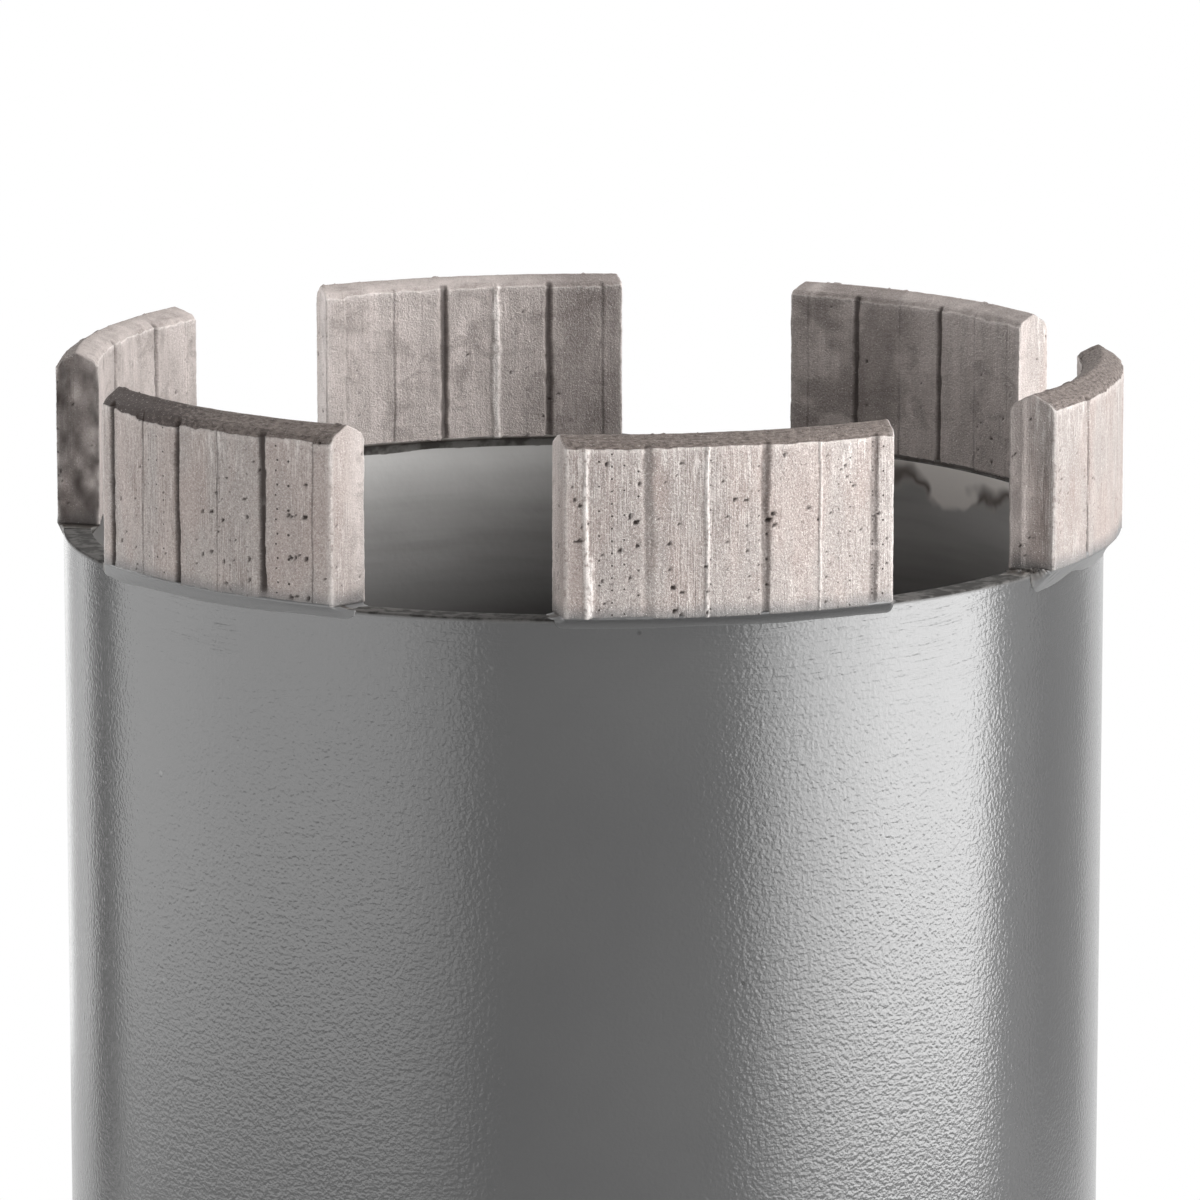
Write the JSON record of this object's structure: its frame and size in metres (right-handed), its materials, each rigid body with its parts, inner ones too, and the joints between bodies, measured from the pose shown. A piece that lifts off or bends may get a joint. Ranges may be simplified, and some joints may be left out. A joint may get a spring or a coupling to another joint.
{
  "type": "diamond core bit",
  "caption": "Thin-walled tubular core bit with roof-top sintered diamond segments on its rim, water gaps between them, a welded end cap and a female-threaded hexagonal hub.",
  "frame": {"origin": "centre of the hub's seat face, on the tool axis, where the upright bit stands", "axes": "+Z along the tool axis from the hub to the crown, +X through the middle of segment_1"},
  "size_m": [0.08, 0.0786, 0.195],
  "materials": {
    "enamel": "glossy grey enamel with a fine orange-peel surface over brushed steel",
    "machined_steel": "turned and milled bare steel",
    "sintered_matrix": "rough sintered metal with diamond grit, warm grey",
    "braze_alloy": "silver braze, mostly under the grey enamel"
  },
  "bodies": {
    "root": {"barrel": "enamel", "end_cap": "enamel", "hub": "machined_steel", "cap_weld": "enamel", "hub_weld": "enamel", "segment_1": "sintered_matrix", "braze_1": "braze_alloy", "segment_2": "sintered_matrix", "braze_2": "braze_alloy", "segment_3": "sintered_matrix", "braze_3": "braze_alloy", "segment_4": "sintered_matrix", "braze_4": "braze_alloy", "segment_5": "sintered_matrix", "braze_5": "braze_alloy", "segment_6": "sintered_matrix", "braze_6": "braze_alloy"}
  },
  "joints": []
}
